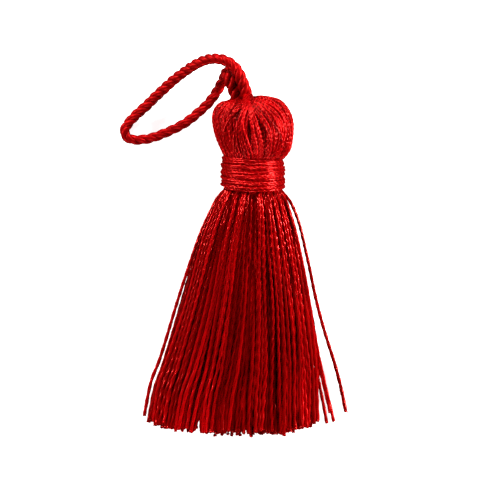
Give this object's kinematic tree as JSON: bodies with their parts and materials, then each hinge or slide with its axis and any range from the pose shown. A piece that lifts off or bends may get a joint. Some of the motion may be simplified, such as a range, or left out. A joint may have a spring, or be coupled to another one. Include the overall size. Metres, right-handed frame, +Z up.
{
  "type": "silk tassel",
  "caption": "Twisted-thread tassel with a folded thread head, a wound neck, a fanned skirt of loose strands and a cord loop to hang it by.",
  "frame": {"origin": "on the surface it lies on, under the middle of the head, in the small flat spot where the head rests", "axes": "+Z up from the surface, +Y along the tassel from the skirt towards the head, +X to the right seen from above"},
  "size_m": [0.0475, 0.0794, 0.0165],
  "materials": {
    "twisted_thread": "bright red twisted silk thread with a soft lustre",
    "binding_thread": "the same red thread, wound tight",
    "loop_cord": "red three-ply silk cord"
  },
  "bodies": {
    "root": {"thread_hank": "twisted_thread", "neck_binding": "binding_thread", "hanging_loop": "loop_cord"}
  },
  "joints": []
}
